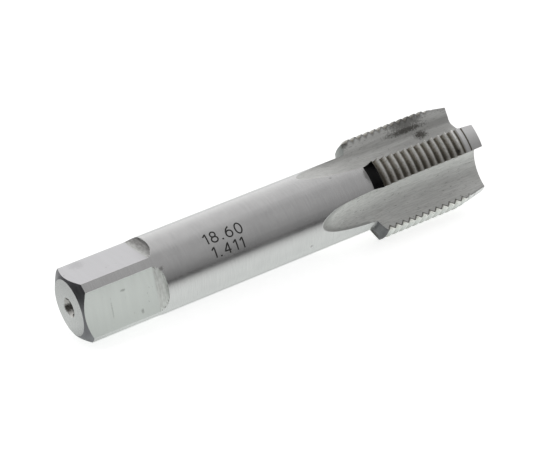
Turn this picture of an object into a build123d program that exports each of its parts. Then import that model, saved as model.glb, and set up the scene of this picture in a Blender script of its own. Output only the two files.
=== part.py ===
from build123d import *
import os
from math import acos, cos, degrees, radians, sin, tan

# A straight-flute thread tap, ground from one bar of tool steel.
# Lengths are millimetres and angles are degrees. It is built standing on its shank end,
# along Z, and is laid down along X at the end, with the centre of its shank face at the origin.

# Bar and shank
overall_length = 80.0
shank_diameter = 14.0
end_chamfer_length = 1.1
end_chamfer_angle = 60.0

# Driving square at the shank end
square_across_flats = 11.0
square_length = 13.7
flat_runout_radius = 1.8
square_sides = 4
square_turn = -6.0

# Centre holes in both end faces
centre_mouth_diameter = 3.6
centre_drill_diameter = 1.8
centre_cone_angle = 60.0
centre_hole_depth = 4.0

# Thread, right hand, on the cutting end
thread_diameter = 18.6
thread_pitch = 25.4 / 18
thread_depth = 0.67
thread_angle = 80.0
thread_section_length = 22.3
first_groove_offset = 0.74
back_step_angle = 65.0
lead_length = 5.3
lead_angle = 10.7

# Flutes and lands
flute_count = 4
flute_turn = -5.0
web_diameter = 8.9
flute_radius = 6.1
cutting_edge_turn = -24.0
hook_angle = 3.0
face_root_radius = 1.0
wheel_radius = 90.0
full_depth_length = 12.6

# How far the cutters reach past the surfaces that they cut
overshoot = 1.0
groove_overshoot = 0.05
groove_overrun_angle = 12.0

# Sizes that follow from those above
full_turn = 360.0
half_turn = full_turn / 2
quarter_turn = full_turn / 4
eighth_turn = full_turn / 8
shank_radius = shank_diameter / 2
thread_radius = thread_diameter / 2
root_radius = thread_radius - thread_depth
web_radius = web_diameter / 2
flute_spacing = full_turn / flute_count
flat_spacing = full_turn / square_sides
step_foot = overall_length - thread_section_length
step_top = step_foot + (thread_radius - shank_radius) / tan(radians(back_step_angle))
lead_start = overall_length - lead_length
lead_end_radius = thread_radius - lead_length * tan(radians(lead_angle))
end_face_radius = shank_radius - end_chamfer_length * tan(radians(end_chamfer_angle))
flute_centre_distance = web_radius + flute_radius
heel_turn = degrees(
    acos(
        (thread_radius**2 + flute_centre_distance**2 - flute_radius**2)
        / (2 * thread_radius * flute_centre_distance)
    )
)
land_angle = flute_spacing - heel_turn + cutting_edge_turn
land_turn = flute_turn + heel_turn + land_angle / 2


def blank():
    """The turned bar: end chamfer, shank, step up to the thread and tapered lead."""
    outline = [
        (0, 0),
        (end_face_radius, 0),
        (shank_radius, end_chamfer_length),
        (shank_radius, step_foot),
        (thread_radius, step_top),
        (thread_radius, lead_start),
        (lead_end_radius, overall_length),
        (0, overall_length),
    ]
    half_section = Plane.XZ * make_face(Polyline(*outline, close=True))
    return revolve(half_section, Axis.Z)


def flat():
    """The cut that leaves one flat of the driving square on the +X side, with its run-out."""
    flat_distance = square_across_flats / 2
    arc_end = flat_distance + flat_runout_radius
    outer = shank_radius + overshoot
    top = square_length + flat_runout_radius
    side = Polyline(
        (arc_end, top),
        (outer, top),
        (outer, -overshoot),
        (flat_distance, -overshoot),
        (flat_distance, square_length),
    )
    arc_centre = Vector(arc_end, square_length)
    arc_middle = arc_centre + Vector(-flat_runout_radius, 0).rotate(Axis.Z, -eighth_turn)
    runout = ThreePointArc((flat_distance, square_length), arc_middle, (arc_end, top))
    section = Plane.XZ * make_face(side + runout)
    return extrude(section, shank_radius + overshoot, both=True)


def centre_hole():
    """A centre hole entering a face at height 0 and going up: cone, then drilled pilot."""
    mouth_radius = centre_mouth_diameter / 2
    drill_radius = centre_drill_diameter / 2
    cone_depth = (mouth_radius - drill_radius) / tan(radians(centre_cone_angle / 2))
    outline = [
        (0, 0),
        (mouth_radius, 0),
        (drill_radius, cone_depth),
        (drill_radius, centre_hole_depth),
        (0, centre_hole_depth + drill_radius),
    ]
    return revolve(Plane.XZ * make_face(Polyline(*outline, close=True)), Axis.Z)


def flute():
    """One flute on the +X side: a straight run at full depth, then the grinding wheel's run-out."""
    full_depth_height = overall_length - full_depth_length
    face_line = Rot(Z=cutting_edge_turn) * Pos(thread_radius, 0) * Rot(Z=hook_angle)
    beyond_face = Rectangle(2 * wheel_radius, 2 * wheel_radius, align=(Align.CENTER, Align.MAX))
    profile = Pos(flute_centre_distance, 0) * Circle(flute_radius) - face_line * beyond_face
    root_corner = profile.vertices().sort_by_distance((0, 0, 0))[0]
    profile = Pos(0, 0, full_depth_height) * fillet(root_corner, face_root_radius)
    straight = extrude(profile, full_depth_length + overshoot)
    wheel_axis = Axis((web_radius + wheel_radius, 0, full_depth_height), (0, -1, 0))
    rise = thread_radius + overshoot - web_radius
    runout = revolve(profile, wheel_axis, degrees(acos(1 - rise / wheel_radius)))
    return straight + runout


def groove():
    """One thread groove across a land that faces +X, centred at height 0, on a right-hand helix."""
    flank = tan(radians(thread_angle / 2))
    truncation = (thread_pitch / 2 / flank - thread_depth) / 2
    root_half_width = truncation * flank
    cut_depth = thread_depth + groove_overshoot
    mouth_half_width = root_half_width + cut_depth * flank
    corners = [
        (root_radius, -root_half_width),
        (root_radius + cut_depth, -mouth_half_width),
        (root_radius + cut_depth, mouth_half_width),
        (root_radius, root_half_width),
    ]
    section = Plane.XZ * make_face(Polyline(*corners, close=True))
    sweep_angle = land_angle + 2 * groove_overrun_angle
    climb = thread_pitch * sweep_angle / full_turn
    path = Helix(thread_pitch, climb, root_radius)
    return Rot(Z=-sweep_angle / 2) * Pos(0, 0, -climb / 2) * sweep(section, path, is_frenet=True)


def thread_grooves():
    """The grooves of all the lands, each land's set a fraction of the pitch above the last."""
    one = groove()
    runs_out = lead_start + thread_depth / tan(radians(lead_angle))
    grooves = []
    for land in range(flute_count):
        height = step_foot + first_groove_offset + thread_pitch * land / flute_count
        while height < runs_out:
            grooves.append(Rot(Z=land_turn + land * flute_spacing) * Pos(0, 0, height) * one)
            height += thread_pitch
    return grooves


tap = blank()
tap -= [Rot(Z=square_turn + side * flat_spacing) * flat() for side in range(square_sides)]
tap -= centre_hole()
tap -= Pos(0, 0, overall_length) * Rot(X=half_turn) * centre_hole()
tap -= [Rot(Z=flute_turn + number * flute_spacing) * flute() for number in range(flute_count)]
tap -= thread_grooves()

os.makedirs("parts", exist_ok=True)
export_step(Rot(Y=quarter_turn) * tap, "parts/tap.step")
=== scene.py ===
from math import cos, radians, sin, tan

import bpy
from mathutils import Matrix, Vector


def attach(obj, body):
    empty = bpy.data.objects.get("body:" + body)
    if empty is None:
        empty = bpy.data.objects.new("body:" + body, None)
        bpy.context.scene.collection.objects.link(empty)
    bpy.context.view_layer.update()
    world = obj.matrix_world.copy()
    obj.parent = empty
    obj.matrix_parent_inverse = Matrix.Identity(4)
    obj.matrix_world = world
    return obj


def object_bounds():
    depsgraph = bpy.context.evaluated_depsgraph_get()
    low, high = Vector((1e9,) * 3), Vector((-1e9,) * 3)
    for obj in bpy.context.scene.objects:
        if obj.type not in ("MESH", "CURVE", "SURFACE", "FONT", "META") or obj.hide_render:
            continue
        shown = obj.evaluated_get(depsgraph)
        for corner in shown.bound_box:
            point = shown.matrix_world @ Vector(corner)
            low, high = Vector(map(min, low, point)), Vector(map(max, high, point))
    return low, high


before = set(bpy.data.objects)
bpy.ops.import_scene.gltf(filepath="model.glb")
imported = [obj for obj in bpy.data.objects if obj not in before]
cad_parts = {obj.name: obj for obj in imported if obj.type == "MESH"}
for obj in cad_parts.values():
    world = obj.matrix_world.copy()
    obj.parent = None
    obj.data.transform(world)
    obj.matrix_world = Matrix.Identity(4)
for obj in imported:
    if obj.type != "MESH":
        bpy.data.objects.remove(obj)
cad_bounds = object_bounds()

# Looks for a straight-flute thread tap. Objects are in metres, in the CAD frame: the axis is X, the
# shank's end face is at X = 0 and +Z is up as the tap lies on two of its lands. An angle round the
# axis, called turn here, is 0 at +Z and grows towards -Y, the camera's side.

MM = 0.001
FULL_TURN = 360.0
WHITE = (1, 1, 1, 1)

# Sizes of the part that its finishes follow, in millimetres and degrees
LENGTH = 80.0
SHANK_RADIUS = 7.0
CHAMFER_END = 1.1
FLAT_END = 13.7
SQUARE_END = 15.5
HOLE_MOUTH_RADIUS = 1.8
HOLE_DRILL_RADIUS = 0.9
STEP_FOOT = 57.7
THREAD_BACK = 58.75
THREAD_RADIUS = 9.3
THREAD_DEPTH = 0.67
THREAD_PITCH = 25.4 / 18
THREAD_ANGLE = 80.0
FIRST_GROOVE = 58.44
FIRST_GROOVE_TURN = 224.8
LEAD_START = 74.7
LEAD_ANGLE = 10.7
HEEL_TURN = 30.1
LAND_SPACING = 90.0

# Camera, with its place in millimetres and its clipping distances in metres
CAMERA_POSITION = (-149.67, -352.61, 237.24)
CAMERA_AZIMUTH = -28.242
CAMERA_ELEVATION = 30.610
CAMERA_ROLL = 6.534
CAMERA_LENS = 178.67
CAMERA_SENSOR = 36.0
CAMERA_CLIP_START = 0.01
CAMERA_CLIP_END = 50

# Light from around the tap. A fade runs between two parts of a ray's unit direction: upwards for
# the ceiling and the wall, and away from the camera for the backdrop's edge.
BACKDROP_SLANT = 0.5
BACKDROP_EDGE = (-0.02, 0.42)
CEILING_FADE = (-0.1, 0.9)
CEILING_LIGHT = (0.22, 0.49)
WALL_FADE = (0.1, 1.0)
WALL_LIGHT = (1.06, 0.71)

# Floor and cards, in metres. A fade runs between two places.
FLOOR_SIZE = 3.0
FLOOR_ALBEDO = 0.8
FLOOR_LIFT_SEEN = 0.70
FLOOR_LIFT_REFLECTED = 0.64
FLOOR_TINT = (0.95, 1.0, 0.97, 1)
FLOOR_FRONT_FADE = (-0.05, -0.008)
FLOOR_BACK_FADE = (0.0, 0.05)
FLOOR_BACK_LIGHT = (1.0, 0.6)
FLOOR_LEFT_FADE = (-0.02, 0.012)
SHADE_FRONT_FADE = (-0.0055, -0.0025)
SHADE_BACK_FADE = (0.0, 0.004)
SHADE_STRENGTH = 0.35
LEFT_CARD_NEAR = (-0.045, -0.03)
LEFT_CARD_FAR = (-0.045, 0.12)
LEFT_CARD_TOP = 0.02
LEFT_CARD_SHADE = 0.01
FRONT_CARD_LEFT = (-0.3, -0.06)
FRONT_CARD_RIGHT = (0.5, -0.06)
FRONT_CARD_TOP = 0.004
FRONT_CARD_SHADE = 0.2

# Sockets of Blender's mix node: the factor and the two values to mix, and where colours come out
FLOAT_SOCKETS = (0, 2, 3)
COLOUR_SOCKETS = (0, 6, 7)
COLOUR_OUTPUT = 2
# Where most of a noise's values lie
NOISE_RANGE = (0.3, 0.7)


def frame_axes(azimuth, elevation, roll):
    """The camera's right, up and back directions. Azimuth 0 looks along +Y."""
    az, el, ro = radians(azimuth), radians(elevation), radians(roll)
    back = Vector((sin(az) * cos(el), -cos(az) * cos(el), sin(el)))
    right = (-back).cross(Vector((0, 0, 1))).normalized()
    up = back.cross(right)
    return cos(ro) * right - sin(ro) * up, sin(ro) * right + cos(ro) * up, back


def add_camera():
    camera = bpy.data.cameras.new("camera")
    camera.sensor_width = CAMERA_SENSOR
    camera.lens = CAMERA_LENS
    camera.clip_start = CAMERA_CLIP_START
    camera.clip_end = CAMERA_CLIP_END
    holder = bpy.data.objects.new("camera", camera)
    bpy.context.scene.collection.objects.link(holder)
    right, up, back = frame_axes(CAMERA_AZIMUTH, CAMERA_ELEVATION, CAMERA_ROLL)
    turn = Matrix((right, up, back)).transposed().to_4x4()
    holder.matrix_world = Matrix.Translation(Vector(CAMERA_POSITION) * MM) @ turn
    bpy.context.scene.camera = holder


def add_object(name, mesh, material):
    thing = bpy.data.objects.new(name, mesh)
    bpy.context.scene.collection.objects.link(thing)
    mesh.materials.append(material)
    return thing


class Nodes:
    """Short ways to add and join shader nodes in one tree."""

    def __init__(self, tree):
        self.tree = tree
        self.tree.nodes.clear()

    def feed(self, value, socket):
        if isinstance(value, bpy.types.NodeSocket):
            self.tree.links.new(value, socket)
        else:
            socket.default_value = value

    def add(self, kind, inputs=None, **settings):
        node = self.tree.nodes.new(kind)
        for name, value in settings.items():
            setattr(node, name, value)
        for name, value in (inputs or {}).items():
            self.feed(value, node.inputs[name])
        return node

    def math(self, operation, *values):
        node = self.add("ShaderNodeMath", operation=operation)
        for value, socket in zip(values, node.inputs):
            self.feed(value, socket)
        return node.outputs[0]

    def vector(self, operation, *values):
        node = self.add("ShaderNodeVectorMath", operation=operation)
        for value, socket in zip(values, node.inputs):
            self.feed(value, socket)
        return node.outputs["Value" if operation == "LENGTH" else "Vector"]

    def split(self, vector):
        return self.add("ShaderNodeSeparateXYZ", {"Vector": vector}).outputs

    def all_of(self, *masks):
        result = masks[0]
        for mask in masks[1:]:
            result = self.math("MULTIPLY", result, mask)
        return result

    def smooth(self, value, low, high, to_low=0.0, to_high=1.0):
        """value mapped from low..high to to_low..to_high with soft ends."""
        node = self.add("ShaderNodeMapRange", interpolation_type="SMOOTHSTEP")
        for number, socket in zip((value, low, high, to_low, to_high), node.inputs):
            self.feed(number, socket)
        return node.outputs[0]

    def below(self, value, low, high):
        """A mask that is 1 up to low and 0 from high on."""
        return self.smooth(value, low, high, 1.0, 0.0)

    def noise(self, point, grains, detail=3.0, roughness=0.5):
        """Noise with this many grains to a millimetre along X, Y and Z."""
        inputs = {
            "Vector": self.vector("MULTIPLY", point, grains),
            "Scale": 1.0,
            "Detail": detail,
            "Roughness": roughness,
        }
        return self.add("ShaderNodeTexNoise", inputs).outputs["Fac"]

    def spread(self, noise, to_low=0.0, to_high=1.0):
        """The noise, stretched to fill to_low..to_high."""
        return self.smooth(noise, *NOISE_RANGE, to_low, to_high)

    def relief(self, noise, height):
        """Bumps of this height in millimetres."""
        return self.math("MULTIPLY", noise, height)

    def mix(self, factor, first, second):
        node = self.add("ShaderNodeMix", data_type="FLOAT")
        for value, socket in zip((factor, first, second), FLOAT_SOCKETS):
            self.feed(value, node.inputs[socket])
        return node.outputs[0]

    def mix_colour(self, factor, first, second):
        node = self.add("ShaderNodeMix", data_type="RGBA")
        for value, socket in zip((factor, first, second), COLOUR_SOCKETS):
            self.feed(value, node.inputs[socket])
        return node.outputs[COLOUR_OUTPUT]

    def two_tone(self, noise, tones):
        """The first tone where the noise is low and the second where it is high."""
        return self.mix_colour(self.spread(noise), *tones)


def new_material(name):
    material = bpy.data.materials.new(name)
    material.use_nodes = True
    return material, Nodes(material.node_tree)


def add_world():
    """A studio with a white backdrop behind and a grey ceiling in front. The camera sees white."""
    world = bpy.data.worlds.new("studio")
    bpy.context.scene.world = world
    world.use_nodes = True
    n = Nodes(world.node_tree)
    x, y, z = n.split(n.add("ShaderNodeTexCoord").outputs["Generated"])
    away = n.math("ADD", y, n.math("MULTIPLY", x, BACKDROP_SLANT))
    ceiling = n.smooth(z, *CEILING_FADE, *CEILING_LIGHT)
    wall = n.smooth(z, *WALL_FADE, *WALL_LIGHT)
    light = n.mix(n.smooth(away, *BACKDROP_EDGE), ceiling, wall)
    studio = n.add("ShaderNodeBackground", {"Color": WHITE, "Strength": light})
    seen = n.add("ShaderNodeBackground", {"Color": WHITE, "Strength": 1.0})
    camera_ray = n.add("ShaderNodeLightPath").outputs["Is Camera Ray"]
    mixed = n.add("ShaderNodeMixShader", {0: camera_ray})
    n.feed(studio.outputs[0], mixed.inputs[1])
    n.feed(seen.outputs[0], mixed.inputs[2])
    n.add("ShaderNodeOutputWorld", {"Surface": mixed.outputs[0]})


def floor_white():
    """White paper. Reflections see it darker at the front, at the back, at the left and under the tap."""
    material, n = new_material("floor_white")
    place = n.split(n.add("ShaderNodeTexCoord").outputs["Object"])
    x, y = place[0], place[1]
    front = n.smooth(y, *FLOOR_FRONT_FADE)
    back = n.smooth(y, *FLOOR_BACK_FADE, *FLOOR_BACK_LIGHT)
    shade = n.all_of(n.smooth(y, *SHADE_FRONT_FADE), n.below(y, *SHADE_BACK_FADE), SHADE_STRENGTH)
    lit = n.all_of(front, back, n.math("SUBTRACT", 1.0, shade), FLOOR_LIFT_REFLECTED)
    lit = n.math("MULTIPLY", lit, n.smooth(x, *FLOOR_LEFT_FADE))
    path = n.add("ShaderNodeLightPath")
    reflected = n.math("MULTIPLY", path.outputs["Is Glossy Ray"], lit)
    seen = path.outputs["Is Camera Ray"]
    tint = n.mix_colour(seen, FLOOR_TINT, WHITE)
    strength = n.mix(seen, reflected, FLOOR_LIFT_SEEN)
    glow = n.add("ShaderNodeEmission", {"Color": tint, "Strength": strength})
    paper = n.add("ShaderNodeBsdfDiffuse", {"Color": (FLOOR_ALBEDO, FLOOR_ALBEDO, FLOOR_ALBEDO, 1)})
    both = n.add("ShaderNodeAddShader")
    n.feed(paper.outputs[0], both.inputs[0])
    n.feed(glow.outputs[0], both.inputs[1])
    n.add("ShaderNodeOutputMaterial", {"Surface": both.outputs[0]})
    return material


def add_floor():
    """A floor that touches the shank and the lands, so it slopes a little along the tap."""
    lowest = cad_bounds[0][2]
    slope = (lowest / MM + SHANK_RADIUS) / (THREAD_BACK - SQUARE_END)
    corners = []
    for x, y in ((-1, -1), (1, -1), (1, 1), (-1, 1)):
        reach = x * FLOOR_SIZE / 2
        corners.append((reach, y * FLOOR_SIZE / 2, lowest + slope * (reach - THREAD_BACK * MM)))
    mesh = bpy.data.meshes.new("floor")
    mesh.from_pydata(corners, [], [(0, 1, 2, 3)])
    add_object("floor", mesh, floor_white())


def card_paper(name, shade):
    material, n = new_material(name)
    paper = n.add("ShaderNodeBsdfDiffuse", {"Color": (shade, shade, shade, 1)})
    n.add("ShaderNodeOutputMaterial", {"Surface": paper.outputs[0]})
    return material


def add_card(name, shade, start, end, top):
    """An upright card on the floor, from start to end, which only reflections see."""
    floor = cad_bounds[0][2]
    corners = [(*start, floor), (*end, floor), (*end, top), (*start, top)]
    mesh = bpy.data.meshes.new(name)
    mesh.from_pydata(corners, [], [(0, 1, 2, 3)])
    card = add_object(name, mesh, card_paper(name, shade))
    card.visible_camera = False
    card.visible_diffuse = False
    card.visible_shadow = False


def in_millimetres(n):
    """The shaded point, from the object's origin."""
    metres = n.add("ShaderNodeTexCoord").outputs["Object"]
    return n.vector("MULTIPLY", metres, (1 / MM, 1 / MM, 1 / MM))


class Place:
    """Where a point of the tap is, in millimetres, and how its surface leans.

    aside and height are its Y and Z, and radius is its distance from the axis. lean is how far the
    surface faces along X, and outward how far it faces away from the axis. across_land is the angle
    from the heel of the land, in degrees. depth is measured down from the thread's crests, and
    inside from its profile. from_groove is the distance along the axis to the nearest groove.
    """

    def __init__(self, n):
        self.point = in_millimetres(n)
        self.x, y, z = n.split(self.point)
        self.aside = y
        self.height = z
        across = n.math("ADD", n.math("MULTIPLY", y, y), n.math("MULTIPLY", z, z))
        self.radius = n.math("SQRT", across)
        normal = n.add("ShaderNodeNewGeometry").outputs["True Normal"]
        self.lean, normal_y, normal_z = n.split(normal)
        outward = n.math("ADD", n.math("MULTIPLY", y, normal_y), n.math("MULTIPLY", z, normal_z))
        self.outward = n.math("DIVIDE", outward, self.radius)
        turn = n.math("DEGREES", n.math("ARCTAN2", n.math("MULTIPLY", y, -1.0), z))
        from_heel = n.math("SUBTRACT", turn, HEEL_TURN)
        self.across_land = n.math("FLOORED_MODULO", from_heel, LAND_SPACING)
        taper = n.math("MULTIPLY", n.math("SUBTRACT", self.x, LEAD_START), tan(radians(LEAD_ANGLE)))
        crest = n.math("SUBTRACT", THREAD_RADIUS, n.math("MAXIMUM", taper, 0.0))
        self.depth = n.math("SUBTRACT", crest, self.radius)
        self.from_groove = self.distance_to_groove(n, turn)
        flank = tan(radians(THREAD_ANGLE / 2))
        truncation = (THREAD_PITCH / 2 / flank - THREAD_DEPTH) / 2
        up_flank = n.math("SUBTRACT", n.math("DIVIDE", self.from_groove, flank), truncation)
        groove = n.math("ADD", THREAD_RADIUS - THREAD_DEPTH, n.math("MAXIMUM", up_flank, 0.0))
        self.inside = n.math("SUBTRACT", n.math("MINIMUM", crest, groove), self.radius)

    def distance_to_groove(self, n, turn):
        """The distance along the axis to the middle of the nearest thread groove."""
        pitches = n.math("DIVIDE", n.math("SUBTRACT", self.x, FIRST_GROOVE), THREAD_PITCH)
        turns = n.math("DIVIDE", n.math("SUBTRACT", turn, FIRST_GROOVE_TURN), FULL_TURN)
        phase = n.math("FRACT", n.math("ADD", n.math("SUBTRACT", pitches, turns), 0.5))
        return n.math("MULTIPLY", n.math("ABSOLUTE", n.math("SUBTRACT", phase, 0.5)), THREAD_PITCH)


# Each finish below gives a colour, a roughness and a height in millimetres. Its values stand above
# it, with names that end alike:
# - grains: a noise's grains to a millimetre along X, Y and Z
# - tones: the two colours that a noise or a fade mixes
# - level: the two values of a noise between which its marks fade in
# - share: how much of the second of two things a mix takes
# - roughness and strength: one number, or the two at the ends of a fade
# - relief: how high the bumps are, in millimetres
# Any other pair is where a fade starts and ends, in millimetres, or in degrees for EDGE_ACROSS.

SHANK_LINE_GRAINS = (5.0, 0.3, 0.3)
SHANK_CLOUD_GRAINS = (0.3, 0.5, 0.5)
SHANK_CLOUD_SHARE = 0.4
SHANK_TONES = ((0.575, 0.572, 0.572, 1), (0.635, 0.632, 0.63, 1))
SHANK_ROUGHNESS = (0.20, 0.26)
SHANK_RELIEF = 0.0004


def ground_shank(n, place):
    """Fine cylindrical grinding, with its lines round the axis."""
    lines = n.noise(place.point, SHANK_LINE_GRAINS)
    cloud = n.noise(place.point, SHANK_CLOUD_GRAINS)
    colour = n.two_tone(n.mix(SHANK_CLOUD_SHARE, lines, cloud), SHANK_TONES)
    return colour, n.spread(cloud, *SHANK_ROUGHNESS), n.relief(lines, SHANK_RELIEF)


FLAT_STREAK_GRAINS = (1.0, 0.12, 0.12)
FLAT_STREAK_STRENGTH = (0.08, 0.0)
FLAT_STREAK_GREY = (0.25, 0.25, 0.24, 1)
FLAT_SCRATCH_GRAINS = (3.0, 1.2, 1.2)
FLAT_SCRATCH_LEVEL = (0.70, 0.78)
FLAT_SCRATCH_STRENGTH = 0.4
# Painted light on the side flats: darker at the bottom, lighter at the top
FLAT_SIDE_HEIGHT = (-4.5, 4.5)
FLAT_SIDE_TONES = ((0.59, 0.61, 0.59, 1), (0.86, 0.89, 0.86, 1))
FLAT_TOP_HEIGHT = (4.9, 5.1)
FLAT_TOP_GREY = (0.65, 0.645, 0.66, 1)
FLAT_ROUGHNESS = (0.38, 0.42)
FLAT_RELIEF = 0.001


def flat_run(n, place, streaks, on_top):
    """The straight part of the square's flats. The side ones carry painted light, brighter upwards."""
    side = n.mix_colour(n.smooth(place.height, *FLAT_SIDE_HEIGHT), *FLAT_SIDE_TONES)
    colour = n.mix_colour(on_top, side, FLAT_TOP_GREY)
    colour = n.mix_colour(n.spread(streaks, *FLAT_STREAK_STRENGTH), colour, FLAT_STREAK_GREY)
    scratches = n.smooth(n.noise(place.point, FLAT_SCRATCH_GRAINS, detail=2.0), *FLAT_SCRATCH_LEVEL)
    return n.mix_colour(n.math("MULTIPLY", scratches, FLAT_SCRATCH_STRENGTH), colour, FLAT_STREAK_GREY)


RUNOUT_LIMITS = (FLAT_END, FLAT_END + 0.35)
RUNOUT_GRAINS = (4.5, 1.0, 1.0)
RUNOUT_TONES = ((0.60, 0.605, 0.585, 1), (0.76, 0.77, 0.75, 1))
RUNOUT_ROUGHNESS = 0.48
RUNOUT_RELIEF = 0.006
# Painted shade, mottled by the rough grain, on the top flat's curved run-out
TOP_RUNOUT_LIMITS = (FLAT_END - 0.2, FLAT_END + 1.3)
TOP_RUNOUT_SHADE_TONES = ((0.26, 0.255, 0.25, 1), (0.42, 0.415, 0.41, 1))
RIM_SPECK_GRAINS = (3.5, 3.5, 3.5)
RIM_SPECK_LEVEL = (0.50, 0.58)
RIM_SPECK_RADIUS = (SHANK_RADIUS - 0.45, SHANK_RADIUS - 0.1)
RIM_SPECK_STRENGTH = 0.6
RIM_SPECK_BROWN = (0.12, 0.11, 0.10, 1)


def milled_flat(n, place):
    """Soft streaks across the square's flats, rough where the cutter ran out, with painted shade on the top
    one's run-out.
    """
    streaks = n.noise(place.point, FLAT_STREAK_GRAINS, detail=2.0)
    grain = n.noise(place.point, RUNOUT_GRAINS)
    on_top = n.smooth(place.height, *FLAT_TOP_HEIGHT)
    runout = n.smooth(place.x, *RUNOUT_LIMITS)
    colour = n.mix_colour(runout, flat_run(n, place, streaks, on_top), n.two_tone(grain, RUNOUT_TONES))
    top_runout_shade = n.all_of(on_top, n.smooth(place.x, *TOP_RUNOUT_LIMITS))
    colour = n.mix_colour(top_runout_shade, colour, n.two_tone(grain, TOP_RUNOUT_SHADE_TONES))
    specks = n.smooth(n.noise(place.point, RIM_SPECK_GRAINS, roughness=0.6), *RIM_SPECK_LEVEL)
    specks = n.all_of(specks, n.smooth(place.radius, *RIM_SPECK_RADIUS), runout, RIM_SPECK_STRENGTH)
    colour = n.mix_colour(specks, colour, RIM_SPECK_BROWN)
    roughness = n.mix(runout, n.spread(streaks, *FLAT_ROUGHNESS), RUNOUT_ROUGHNESS)
    bumps = n.relief(n.spread(grain), RUNOUT_RELIEF)
    return colour, roughness, n.mix(runout, n.relief(streaks, FLAT_RELIEF), bumps)


# Painted shade on the flutes in front and along their rims, and painted light on their far face
FRONT_SHADE_X = (58.0, 76.0)
FRONT_SHADE_STRENGTH = (0.06, 0.3)
FRONT_SHADE_HEIGHT = (2.0, 4.0)
FRONT_SHADE_RADIUS = (6.5, 7.5)
FRONT_SHADE_GREY = (0.30, 0.295, 0.29, 1)
FAR_FACE_RADIUS = (7.0, 7.6)
FAR_FACE_ASIDE = (1.0, 2.5)
FAR_FACE_STRENGTH = 0.3
FAR_FACE_LIGHT_GREY = (0.95, 0.95, 0.94, 1)
FLUTE_RIM_RADIUS = (SHANK_RADIUS - 0.6, SHANK_RADIUS - 0.05)
FLUTE_RIM_END = (STEP_FOOT - 2.0, STEP_FOOT - 1.0)
FLUTE_RIM_HEIGHT = (3.5, 5.0)
FLUTE_RIM_STRENGTH = (0.5, 0.05)
FLUTE_RIM_SHADE_GREY = (0.25, 0.25, 0.24, 1)


def flute_shades(n, place, colour):
    """colour, with painted shade in front and along the flutes' rims on the shank, and painted light on the
    far side.
    """
    front = n.smooth(place.x, *FRONT_SHADE_X, *FRONT_SHADE_STRENGTH)
    front = n.math("MULTIPLY", front, n.smooth(place.height, *FRONT_SHADE_HEIGHT))
    front = n.math("MULTIPLY", front, n.below(place.radius, *FRONT_SHADE_RADIUS))
    colour = n.mix_colour(front, colour, FRONT_SHADE_GREY)
    far_face = n.all_of(n.smooth(place.radius, *FAR_FACE_RADIUS), n.smooth(place.aside, *FAR_FACE_ASIDE))
    colour = n.mix_colour(n.math("MULTIPLY", far_face, FAR_FACE_STRENGTH), colour, FAR_FACE_LIGHT_GREY)
    rim = n.all_of(n.smooth(place.radius, *FLUTE_RIM_RADIUS), n.below(place.x, *FLUTE_RIM_END))
    rim = n.math("MULTIPLY", rim, n.smooth(place.height, *FLUTE_RIM_HEIGHT, *FLUTE_RIM_STRENGTH))
    return n.mix_colour(rim, colour, FLUTE_RIM_SHADE_GREY)


# A dark brown line on the flutes along the thread's profile, weaker on the far side and on the lead
PROFILE_LINE_START = 0.1
PROFILE_LINE_WIDTH_HEIGHT = (-2.0, 2.0)
PROFILE_LINE_WIDTH = (0.36, 0.6)
PROFILE_LINE_RADIUS = (7.8, 8.2)
PROFILE_LINE_ASIDE = (-1.0, 1.0)
PROFILE_LINE_STRENGTH = (0.9, 0.4)
PROFILE_LINE_LEAD_X = (74.5, 77.0)
PROFILE_LINE_LEAD_STRENGTH = (1.0, 0.35)
PROFILE_LINE_BROWN = (0.10, 0.095, 0.09, 1)


def dark_profile_line(n, place):
    """A mask along the thread's profile in the flutes, weaker on the far side and on the lead."""
    width = n.smooth(place.height, *PROFILE_LINE_WIDTH_HEIGHT, *PROFILE_LINE_WIDTH)
    line = n.all_of(n.below(place.inside, PROFILE_LINE_START, width), n.smooth(place.radius, *PROFILE_LINE_RADIUS))
    line = n.math("MULTIPLY", line, n.smooth(place.aside, *PROFILE_LINE_ASIDE, *PROFILE_LINE_STRENGTH))
    return n.math("MULTIPLY", line, n.smooth(place.x, *PROFILE_LINE_LEAD_X, *PROFILE_LINE_LEAD_STRENGTH))


FLUTE_STREAK_GRAINS = (0.35, 5.0, 5.0)
FLUTE_CLOUD_GRAINS = (0.12, 0.4, 0.4)
FLUTE_CLOUD_SHARE = 0.2
FLUTE_TONES = ((0.58, 0.58, 0.565, 1), (0.80, 0.80, 0.785, 1))
FLUTE_SCRATCH_GRAINS = (1.2, 7.0, 7.0)
FLUTE_SCRATCH_LEVEL = (0.62, 0.72)
FLUTE_SCRATCH_STRENGTH = 0.6
FLUTE_SCRATCH_GREY = (0.20, 0.195, 0.18, 1)
FLUTE_ROUGHNESS = (0.56, 0.68)
FLUTE_RELIEF = 0.004


def ground_flute(n, place):
    """A matt grey finish with streaks and dark scratches along the flute."""
    streaks = n.noise(place.point, FLUTE_STREAK_GRAINS, detail=4.0, roughness=0.7)
    cloud = n.noise(place.point, FLUTE_CLOUD_GRAINS)
    colour = n.two_tone(n.mix(FLUTE_CLOUD_SHARE, streaks, cloud), FLUTE_TONES)
    colour = flute_shades(n, place, colour)
    scratches = n.smooth(n.noise(place.point, FLUTE_SCRATCH_GRAINS), *FLUTE_SCRATCH_LEVEL)
    colour = n.mix_colour(n.math("MULTIPLY", scratches, FLUTE_SCRATCH_STRENGTH), colour, FLUTE_SCRATCH_GREY)
    colour = n.mix_colour(dark_profile_line(n, place), colour, PROFILE_LINE_BROWN)
    return colour, n.spread(streaks, *FLUTE_ROUGHNESS), n.relief(streaks, FLUTE_RELIEF)


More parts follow.
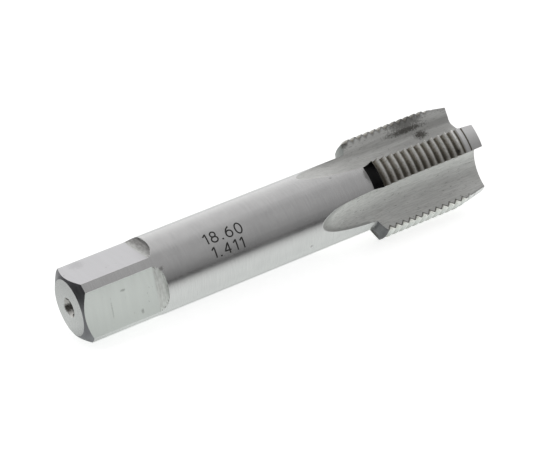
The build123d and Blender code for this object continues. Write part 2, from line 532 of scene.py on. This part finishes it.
THREAD_GRAINS = (3.0, 3.0, 3.0)
THREAD_RELIEF = 0.014
CREST_TONES = ((0.78, 0.77, 0.745, 1), (0.90, 0.89, 0.865, 1))
CREST_ROUGHNESS = 0.32
HIGH_LIMITS = (-6.5, -4.5)
LOW_CREST_GREY = (0.69, 0.70, 0.69, 1)
BARE_LEAD_LIMITS = (LEAD_START + 0.8, LEAD_START + 2.0)
BARE_LEAD_GREY = (0.67, 0.665, 0.665, 1)
# The grooves' brown is partly oil and partly painted shade in the recesses: darker with depth, with dark
# lines along the grooves
OIL_AND_SHADE_DEPTH = (0.15, 0.6)
OIL_AND_SHADE_RAGGEDNESS = 0.2
OIL_AND_SHADE_HEIGHT = (-6.0, -1.0)
OIL_AND_SHADE_STRENGTH = (0.15, 1.0)
OIL_AND_SHADE_TONES = ((0.29, 0.27, 0.23, 1), (0.48, 0.45, 0.395, 1))
OIL_ROUGHNESS = 0.45
GROOVE_WIDTH = (0.08, 0.22)
GROOVE_DEPTH = (0.02, 0.1)
GROOVE_STRENGTH = 0.5
GROOVE_BROWN = (0.06, 0.055, 0.045, 1)
EDGE_ACROSS = (10.0, 30.0)
EDGE_STRENGTH = (0.0, 0.85)
EDGE_LEAD_STRENGTH = (1.0, 0.15)
EDGE_OIL_AND_SHADE_BROWN = (0.08, 0.07, 0.055, 1)
EDGE_CREST_SHARE = 0.6
EDGE_CREST_BROWN = (0.30, 0.28, 0.24, 1)
SPECK_GRAINS = (4.0, 2.5, 2.5)
SPECK_LEVEL = (0.52, 0.64)
SPECK_STRENGTH = (0.0, 0.5)
SPECK_HIGH_STRENGTH = (0.3, 1.0)
SPECK_LEAD_STRENGTH = (1.0, 0.2)
SPECK_BROWN = (0.10, 0.09, 0.075, 1)


def cut_thread(n, place):
    """Bright crests over grooves brown with oil and painted shade, browner towards the cutting edge, with
    dark specks.

    The grooves are less dark on what faces down, and the lead beyond its last groove is nearly bare.
    """
    grain = n.noise(place.point, THREAD_GRAINS)
    high = n.smooth(place.height, *HIGH_LIMITS)
    lead = n.smooth(place.x, *BARE_LEAD_LIMITS)
    near_edge = n.smooth(place.across_land, *EDGE_ACROSS, *EDGE_STRENGTH)
    near_edge = n.math("MULTIPLY", near_edge, n.smooth(place.x, *BARE_LEAD_LIMITS, *EDGE_LEAD_STRENGTH))
    crest = n.mix_colour(high, LOW_CREST_GREY, n.two_tone(grain, CREST_TONES))
    crest = n.mix_colour(lead, crest, BARE_LEAD_GREY)
    # The grooves' tone: oil brown with painted shade
    oil = n.mix_colour(near_edge, n.two_tone(grain, OIL_AND_SHADE_TONES), EDGE_OIL_AND_SHADE_BROWN)
    deep = n.smooth(n.math("ADD", place.depth, n.math("MULTIPLY", grain, OIL_AND_SHADE_RAGGEDNESS)), *OIL_AND_SHADE_DEPTH)
    line = n.all_of(n.below(place.from_groove, *GROOVE_WIDTH), n.smooth(place.depth, *GROOVE_DEPTH))
    oil_and_shade = n.all_of(n.math("MAXIMUM", deep, line), n.smooth(place.height, *OIL_AND_SHADE_HEIGHT, *OIL_AND_SHADE_STRENGTH))
    colour = n.mix_colour(oil_and_shade, crest, oil)
    colour = n.mix_colour(n.math("MULTIPLY", near_edge, EDGE_CREST_SHARE), colour, EDGE_CREST_BROWN)
    colour = n.mix_colour(n.math("MULTIPLY", line, GROOVE_STRENGTH), colour, GROOVE_BROWN)
    specks = n.noise(place.point, SPECK_GRAINS, detail=4.0, roughness=0.8)
    specks = n.smooth(specks, *SPECK_LEVEL, *SPECK_STRENGTH)
    specks = n.math("MULTIPLY", specks, n.smooth(high, 0.0, 1.0, *SPECK_HIGH_STRENGTH))
    specks = n.math("MULTIPLY", specks, n.smooth(lead, 0.0, 1.0, *SPECK_LEAD_STRENGTH))
    colour = n.mix_colour(specks, colour, SPECK_BROWN)
    return colour, n.mix(oil_and_shade, CREST_ROUGHNESS, OIL_ROUGHNESS), n.relief(grain, THREAD_RELIEF)


CONE_RING_GRAINS = (2.5, 0.3, 0.3)
CONE_RELIEF = 0.002
CHAMFER_TONES = ((0.24, 0.24, 0.255, 1), (0.31, 0.315, 0.33, 1))
CHAMFER_ROUGHNESS = 0.38
STEP_TONES = ((0.09, 0.09, 0.095, 1), (0.15, 0.15, 0.155, 1))
STEP_ROUGHNESS = 0.16
STEP_BLACK_HEIGHT = (-2.0, 2.0)
STEP_BLACK_STRENGTH = (0.0, 0.85)
STEP_BLACK = (0.016, 0.016, 0.016, 1)
STEP_MOTTLE_GRAINS = (4.0, 4.0, 4.0)
STEP_MOTTLE_ASIDE = (1.0, 3.0)
STEP_MOTTLE_TONES = ((0.11, 0.115, 0.11, 1), (0.28, 0.29, 0.28, 1))


def turned_cone(n, place):
    """The darker turned cones: the end chamfer, and the step behind the thread, which is darkest.

    The step is nearly black above the axis, and mottled on the far side.
    """
    rings = n.noise(place.point, CONE_RING_GRAINS)
    mottle = n.noise(place.point, STEP_MOTTLE_GRAINS)
    black = n.smooth(place.height, *STEP_BLACK_HEIGHT, *STEP_BLACK_STRENGTH)
    step = n.mix_colour(black, n.two_tone(rings, STEP_TONES), STEP_BLACK)
    far_side = n.smooth(place.aside, *STEP_MOTTLE_ASIDE)
    step = n.mix_colour(far_side, step, n.mix_colour(mottle, *STEP_MOTTLE_TONES))
    behind_thread = n.smooth(place.x, CHAMFER_END, STEP_FOOT)
    colour = n.mix_colour(behind_thread, n.two_tone(rings, CHAMFER_TONES), step)
    roughness = n.mix(behind_thread, CHAMFER_ROUGHNESS, STEP_ROUGHNESS)
    return colour, roughness, n.relief(rings, CONE_RELIEF)


FACE_RING_GRAINS = (4.0, 1, 1)
FACE_CLOUD_GRAINS = (0.5, 0.5, 0.5)
FACE_CLOUD_SHARE = 0.5
FACE_TONES = ((0.55, 0.56, 0.55, 1), (0.64, 0.645, 0.64, 1))
FACE_ROUGHNESS = (0.22, 0.30)
FACE_RELIEF = 0.002


def turned_face(n, place):
    """An end face with faint rings from the lathe."""
    rings = n.noise(n.add("ShaderNodeCombineXYZ", {"X": place.radius}).outputs[0], FACE_RING_GRAINS)
    cloud = n.noise(place.point, FACE_CLOUD_GRAINS)
    colour = n.two_tone(n.mix(FACE_CLOUD_SHARE, rings, cloud), FACE_TONES)
    return colour, n.spread(cloud, *FACE_ROUGHNESS), n.relief(rings, FACE_RELIEF)


HOLE_RING_GRAINS = (6.0, 0.3, 0.3)
HOLE_TONES = ((0.50, 0.49, 0.47, 1), (0.70, 0.69, 0.67, 1))
HOLE_ROUGHNESS = 0.18
HOLE_RELIEF = 0.002
# Painted shade: the hole's depth, nearly black
HOLE_SHADE_RADIUS = (HOLE_DRILL_RADIUS + 0.25, HOLE_DRILL_RADIUS + 0.6)
HOLE_SHADE_BLACK = (0.03, 0.03, 0.03, 1)
HOLE_DEPTH_ROUGHNESS = 0.6


def drilled_hole(n, place):
    """A centre hole: its mouth is bright and its depth painted black as shade."""
    rings = n.noise(place.point, HOLE_RING_GRAINS)
    deep = n.below(place.radius, *HOLE_SHADE_RADIUS)
    colour = n.mix_colour(deep, n.mix_colour(rings, *HOLE_TONES), HOLE_SHADE_BLACK)
    return colour, n.mix(deep, HOLE_ROUGHNESS, HOLE_DEPTH_ROUGHNESS), n.relief(rings, HOLE_RELIEF)


DIRT_AND_SHADE_GRAINS = (4.0, 4.0, 4.0)
DIRT_AND_SHADE_TONES = ((0.05, 0.047, 0.042, 1), (0.14, 0.133, 0.12, 1))
DIRT_AND_SHADE_ROUGHNESS = 0.55
DIRT_AND_SHADE_RELIEF = 0.004


def dirt_and_shade(n, place):
    """Brown-black dirt, and painted shade at the bottom land's step."""
    grain = n.noise(place.point, DIRT_AND_SHADE_GRAINS)
    return n.two_tone(grain, DIRT_AND_SHADE_TONES), DIRT_AND_SHADE_ROUGHNESS, n.relief(grain, DIRT_AND_SHADE_RELIEF)


# Each mask below is 1 where its finish lies and 0 elsewhere. Its limits are where a narrow fade
# starts and ends, in millimetres, or in parts of the surface's unit normal for the last four. The
# flutes' limits lie a little before them, and the holes' end limits, measured from either end of
# the tap, a little deeper than the holes.

BELOW_SHANK = (SHANK_RADIUS - 0.06, SHANK_RADIUS - 0.02)
ABOVE_SHANK = (SHANK_RADIUS + 1.0, SHANK_RADIUS + 1.1)
SQUARE_LIMITS = (SQUARE_END + 0.1, SQUARE_END + 0.2)
FLUTE_LIMITS = (42.0, 43.0)
THREAD_LIMITS = (STEP_FOOT, STEP_FOOT + 0.1)
CHAMFER_LIMITS = (CHAMFER_END, CHAMFER_END + 0.1)
STEP_LIMITS = (STEP_FOOT - 0.1, STEP_FOOT)
HOLE_WIDTH_LIMITS = (HOLE_MOUTH_RADIUS, HOLE_MOUTH_RADIUS + 0.03)
HOLE_MOUTH_LIMITS = (0.01, 0.03)
HOLE_END_LIMITS = (5.0, 6.0)
FACING_OUT = (0.2, 0.3)
CONE_LEAN_STEEP = (-0.95, -0.94)
CONE_LEAN_FLAT = (-0.8, -0.78)
END_LEAN = (0.96, 0.97)


def on_flat(n, place):
    return n.all_of(n.below(place.radius, *BELOW_SHANK), n.below(place.x, *SQUARE_LIMITS))


def on_flute(n, place):
    not_shank = n.math("MAXIMUM", n.below(place.radius, *BELOW_SHANK), n.smooth(place.x, *THREAD_LIMITS))
    return n.all_of(not_shank, n.smooth(place.x, *FLUTE_LIMITS))


def on_thread(n, place):
    on_land = n.smooth(place.outward, *FACING_OUT)
    return n.all_of(on_land, n.smooth(place.radius, *ABOVE_SHANK), n.smooth(place.x, *THREAD_LIMITS))


def on_cone(n, place):
    leaning = n.all_of(n.below(place.lean, *CONE_LEAN_FLAT), n.smooth(place.lean, *CONE_LEAN_STEEP))
    step = n.all_of(n.smooth(place.x, *STEP_LIMITS), n.smooth(place.outward, *FACING_OUT))
    return n.all_of(leaning, n.math("MAXIMUM", n.below(place.x, *CHAMFER_LIMITS), step))


def on_end(n, place):
    return n.smooth(n.math("ABSOLUTE", place.lean), *END_LEAN)


def in_hole(n, place):
    from_end = n.math("MINIMUM", place.x, n.math("SUBTRACT", LENGTH, place.x))
    narrow = n.below(place.radius, *HOLE_WIDTH_LIMITS)
    return n.all_of(narrow, n.smooth(from_end, *HOLE_MOUTH_LIMITS), n.below(from_end, *HOLE_END_LIMITS))


# Dirt that the photograph shows, and one patch of painted shade: each patch's middle and half sizes, in
# millimetres, and strength
DIRT_AND_SHADE_PATCHES = (
    ((0.3, 1.3, -0.75), (1.0, 0.9, 0.8), 0.95),
    ((71.0, 3.6, 6.15), (4.4, 0.9, 0.65), 0.85),
    ((71.4, 4.5, 7.2), (3.9, 2.1, 2.0), 0.65),
    ((73.5, 2.5, 4.75), (1.5, 1.2, 0.6), 0.9),
    ((58.5, 4.6, 7.3), (0.8, 0.9, 0.9), 0.9),
    # Painted shade: the lower corner of the bottom land's step
    ((58.3, -3.9, -6.9), (1.2, 1.0, 1.2), 0.95),
    ((57.4, -4.4, 5.4), (0.4, 1.4, 1.4), 0.45),
    ((74.9, -7.3, 5.0), (0.45, 0.45, 0.45), 0.85),
    ((70.5, -4.6, 7.4), (0.35, 0.5, 0.5), 0.7),
    ((58.9, -6.1, 6.1), (0.35, 1.8, 1.8), 0.7),
    ((43.9, -6.5, -2.5), (0.35, 0.2, 0.35), 0.3),
    ((51.2, -2.5, 6.5), (0.3, 0.3, 0.2), 0.3),
    ((15.2, -5.6, 4.2), (0.4, 0.35, 0.5), 0.45),
    ((7.9, -5.2, 2.8), (0.5, 0.4, 0.3), 0.4),
    ((10.7, -5.8, -2.3), (0.3, 0.4, 0.5), 0.4),
    ((5.3, -5.5, 0.0), (0.15, 0.4, 2.2), 0.25),
    ((3.9, 3.5, 5.2), (1.5, 1.8, 0.5), 0.12),
)
PATCH_GRAINS = (3.5, 3.5, 3.5)
# In half sizes: how far noise moves a patch's edge, and where the patch fades
PATCH_RAGGEDNESS = 2.4
PATCH_LIMITS = (1.6, 2.4)


def in_dirt_or_shade_patch(n, place):
    grain = n.noise(place.point, PATCH_GRAINS, detail=4.0, roughness=0.7)
    result = 0.0
    for middle, half_sizes, strength in DIRT_AND_SHADE_PATCHES:
        away = n.vector("DIVIDE", n.vector("SUBTRACT", place.point, middle), half_sizes)
        ragged = n.math("ADD", n.vector("LENGTH", away), n.math("MULTIPLY", grain, PATCH_RAGGEDNESS))
        result = n.math("MAXIMUM", result, n.smooth(ragged, *PATCH_LIMITS, strength, 0.0))
    return result


def tool_steel():
    """The whole tap's steel, finish over finish."""
    material, n = new_material("tool_steel")
    place = Place(n)
    colour, roughness, height = ground_shank(n, place)
    layers = (
        (milled_flat, on_flat),
        (ground_flute, on_flute),
        (cut_thread, on_thread),
        (turned_cone, on_cone),
        (turned_face, on_end),
        (drilled_hole, in_hole),
        (dirt_and_shade, in_dirt_or_shade_patch),
    )
    for finish, where in layers:
        mask = where(n, place)
        over_colour, over_roughness, over_height = finish(n, place)
        colour = n.mix_colour(mask, colour, over_colour)
        roughness = n.mix(mask, roughness, over_roughness)
        height = n.mix(mask, height, over_height)
    bump = n.add("ShaderNodeBump", {"Height": height, "Distance": MM, "Strength": 1.0})
    inputs = {
        "Base Color": colour,
        "Metallic": 1.0,
        "Roughness": roughness,
        "Normal": bump.outputs[0],
    }
    shader = n.add("ShaderNodeBsdfPrincipled", inputs)
    n.add("ShaderNodeOutputMaterial", {"Surface": shader.outputs[0]})
    return material


def dress_tap():
    material = tool_steel()
    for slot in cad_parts["tap"].material_slots:
        slot.material = material


# Numbers marked on the shank: each line's text and right end, and sizes, in millimetres
MARK_LINES = (("18.60", 31.7), ("1.411", 31.0))
MARK_HEIGHT = 1.9
MARK_PITCH = 2.6
MARK_BASELINE = 5.88
MARK_PROUD = 0.012
MARK_SUNK = 0.03
MARK_GRAINS = (9.0, 9.0, 9.0)
MARK_TONES = ((0.008, 0.008, 0.008, 1), (0.035, 0.034, 0.032, 1))
MARK_ROUGHNESS = (0.5, 0.7)
MARK_RELIEF = 0.004
# How much the lines fall towards the cutting end, in degrees
MARK_SLOPE = 1.6
# Signs are drawn 1 high
STROKE_WIDTH = 0.135
SIGN_GAP = 0.37
STROKE_STEPS = 6
ARC_STEPS = 24
# A stroke is a bar with four corners at each of its points
CORNERS = 4


def mark_black():
    """The oxide that a marking laser leaves."""
    material, n = new_material("mark_black")
    grain = n.noise(in_millimetres(n), MARK_GRAINS)
    bump = n.add("ShaderNodeBump", {"Height": n.relief(grain, MARK_RELIEF), "Distance": MM})
    inputs = {
        "Base Color": n.mix_colour(grain, *MARK_TONES),
        "Roughness": n.spread(grain, *MARK_ROUGHNESS),
        "Normal": bump.outputs[0],
    }
    shader = n.add("ShaderNodeBsdfPrincipled", inputs)
    n.add("ShaderNodeOutputMaterial", {"Surface": shader.outputs[0]})
    return material


def straight(*corners):
    """Points along straight runs, close enough together to bend round the shank."""
    points = [Vector(corners[0])]
    for start, end in zip(corners, corners[1:]):
        for step in range(1, STROKE_STEPS + 1):
            points.append(Vector(start).lerp(Vector(end), step / STROKE_STEPS))
    return points


def arc(centre, radii, start, end):
    """Points on part of an ellipse, by angle from the right, anticlockwise."""
    points = []
    for step in range(ARC_STEPS + 1):
        angle = radians(start + (end - start) * step / ARC_STEPS)
        points.append(Vector((centre[0] + radii[0] * cos(angle), centre[1] + radii[1] * sin(angle))))
    return points


# The strokes of each sign, 1 high, and the sign's width
SIGNS = {
    "0": ([arc((0.31, 0.5), (0.31, 0.5), 0, 360)], 0.62),
    "1": ([straight((0.0, 0.76), (0.28, 1.0), (0.28, 0.0))], 0.3),
    "4": ([straight((0.46, 0.0), (0.46, 1.0), (0.0, 0.3), (0.62, 0.3))], 0.62),
    "6": ([arc((0.31, 0.31), (0.31, 0.31), 0, 360), arc((0.62, 0.31), (0.62, 0.69), 180, 105)], 0.62),
    "8": ([arc((0.31, 0.75), (0.25, 0.25), 0, 360), arc((0.31, 0.26), (0.31, 0.26), 0, 360)], 0.62),
    ".": ([straight((0.0, 0.04), (0.17, 0.04))], 0.17),
}


def stroke_sides(points, half_width):
    """The left and right edges of a stroke of even width along the points."""
    closed = (points[0] - points[-1]).length < half_width / 10
    left, right = [], []
    for i, point in enumerate(points):
        before = points[i - 1] if i > 0 else (points[-2] if closed else point)
        after = points[i + 1] if i + 1 < len(points) else (points[1] if closed else point)
        along = (after - before).normalized()
        aside = Vector((-along.y, along.x)) * half_width
        left.append(point + aside)
        right.append(point - aside)
    return left, right


def on_shank(right, across, up, proud, baseline):
    """The place on the shank of a point of the marking, in metres."""
    turn = (baseline - up + across * tan(radians(MARK_SLOPE))) / SHANK_RADIUS
    radius = SHANK_RADIUS + proud
    return Vector((right + across, -radius * sin(turn), radius * cos(turn))) * MM


def bar_faces(first, last):
    """The faces of a closed bar, from the first corner at its first point and at its last one."""
    faces = []
    for near in range(first, last, CORNERS):
        far = near + CORNERS
        for corner in range(CORNERS):
            after = (corner + 1) % CORNERS
            faces.append((near + corner, far + corner, far + after, near + after))
    faces.append(tuple(range(first, first + CORNERS)))
    faces.append(tuple(reversed(range(last, last + CORNERS))))
    return faces


def number_mesh(text, right, baseline):
    """The text as thin closed bars on the shank, with its last sign ending at right."""
    widths = [SIGNS[sign][1] + SIGN_GAP for sign in text]
    start = SIGN_GAP - sum(widths)
    vertices, faces = [], []
    for sign, width in zip(text, widths):
        for points in SIGNS[sign][0]:
            first = len(vertices)
            for one, other in zip(*stroke_sides(points, STROKE_WIDTH / 2)):
                ring = ((one, MARK_PROUD), (other, MARK_PROUD), (other, -MARK_SUNK), (one, -MARK_SUNK))
                for side, proud in ring:
                    across, up = (side.x + start) * MARK_HEIGHT, side.y * MARK_HEIGHT
                    vertices.append(on_shank(right, across, up, proud, baseline))
            faces += bar_faces(first, len(vertices) - CORNERS)
        start += width
    mesh = bpy.data.meshes.new("number")
    mesh.from_pydata(vertices, [], faces)
    return mesh


def add_marking():
    """Two lines of plain numbers, wrapped on the shank and reading towards the cutting end."""
    material = mark_black()
    for line, (text, right) in enumerate(MARK_LINES):
        mesh = number_mesh(text, right, MARK_BASELINE + MARK_PITCH * line)
        mark = add_object(f"mark_line_{line + 1}", mesh, material)
        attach(mark, "root")


bpy.context.scene.view_settings.view_transform = "Standard"
add_camera()
add_world()
add_floor()
add_card("left_card", LEFT_CARD_SHADE, LEFT_CARD_NEAR, LEFT_CARD_FAR, LEFT_CARD_TOP)
add_card("front_card", FRONT_CARD_SHADE, FRONT_CARD_LEFT, FRONT_CARD_RIGHT, FRONT_CARD_TOP)
dress_tap()
add_marking()
